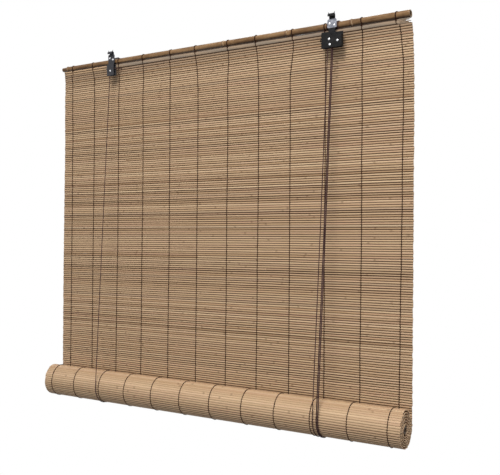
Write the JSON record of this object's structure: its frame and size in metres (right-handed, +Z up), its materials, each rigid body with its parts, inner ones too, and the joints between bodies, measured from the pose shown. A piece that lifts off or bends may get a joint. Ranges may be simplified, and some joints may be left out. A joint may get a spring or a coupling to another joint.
{
  "type": "bamboo roll up blind",
  "caption": "Reed mat tied to a cane, hung by two hook strips with a pulley and a cord lock, and partly rolled up from below on looped cords.",
  "frame": {"origin": "on the line through both hooks, halfway along the mat", "axes": "+X along the cane to the cord lock's side, +Y to the back (the window), +Z up"},
  "size_m": [1.205, 0.1067, 1.0934],
  "materials": {
    "reed": "stained split reed, satin",
    "cane": "natural cane, slightly glossy",
    "thread": "dark spun thread",
    "cord": "braided cord",
    "black_steel": "black, semi-gloss",
    "cam_steel": "plain",
    "rivet_steel": "bright",
    "sheave": "moulded"
  },
  "bodies": {
    "head": {"head_rod": "cane", "rod_lashings": "thread", "left_hanger": "black_steel", "right_hanger": "black_steel", "hanger_rivets": "rivet_steel", "reed_mat": "reed", "warp_01": "thread", "warp_02": "thread", "warp_03": "thread", "warp_04": "thread", "warp_05": "thread", "warp_06": "thread", "warp_07": "thread", "warp_08": "thread", "warp_09": "thread", "warp_10": "thread", "warp_11": "thread", "warp_12": "thread", "left_back_plate": "black_steel", "left_front_plate": "black_steel", "lock_back_plate": "black_steel", "lock_front_plate": "black_steel", "axle_rivets": "rivet_steel", "guide_post": "rivet_steel", "cord_hitches": "cord", "top_cords": "cord", "left_lift_front": "cord", "right_lift_front": "cord", "pull_front_a": "cord", "pull_front_b": "cord", "left_lift_back": "cord", "right_lift_back": "cord", "pull_back_a": "cord", "pull_back_b": "cord"},
    "slings": {"roll_slings": "cord"},
    "roll": {"rolled_mat": "reed", "roll_warps": "thread", "core_rod": "cane"},
    "left_sheave": {"left_sheave": "sheave"},
    "lock_sheave": {"lock_sheave": "sheave"},
    "lock_cam": {"lock_cam": "cam_steel"}
  },
  "joints": [
    {"name": "roll_lift", "type": "slide", "parent": "head", "child": "slings", "axis": [0, 0, 1], "range_m": [0, 0.7804], "deforming": ["reed_mat", "warp_01", "warp_02", "warp_03", "warp_04", "warp_05", "warp_06", "warp_07", "warp_08", "warp_09", "warp_10", "warp_11", "warp_12", "left_lift_front", "right_lift_front", "pull_front_a", "pull_front_b", "left_lift_back", "right_lift_back", "pull_back_a", "pull_back_b"]},
    {"name": "roll_turn", "type": "hinge", "parent": "slings", "child": "roll", "pos_m": [0, -0.02748, -1.0382], "axis": [1, 0, 0], "range_deg": [-1081, 1]},
    {"name": "left_sheave_turn", "type": "hinge", "parent": "head", "child": "left_sheave", "pos_m": [-0.371, -0.0019, -0.0566], "axis": [0, -1, 0], "continuous": true},
    {"name": "lock_sheave_turn", "type": "hinge", "parent": "head", "child": "lock_sheave", "pos_m": [0.3849, -0.0019, -0.0625], "axis": [0, -1, 0], "continuous": true},
    {"name": "cam_swing", "type": "hinge", "parent": "head", "child": "lock_cam", "pos_m": [0.4085, -0.0019, -0.0685], "axis": [0, -1, 0], "range_deg": [0, 35]}
  ],
  "couplings": [
    {"joint": "roll_turn", "follows": "roll_lift", "rad_per_m": -24.155}
  ]
}
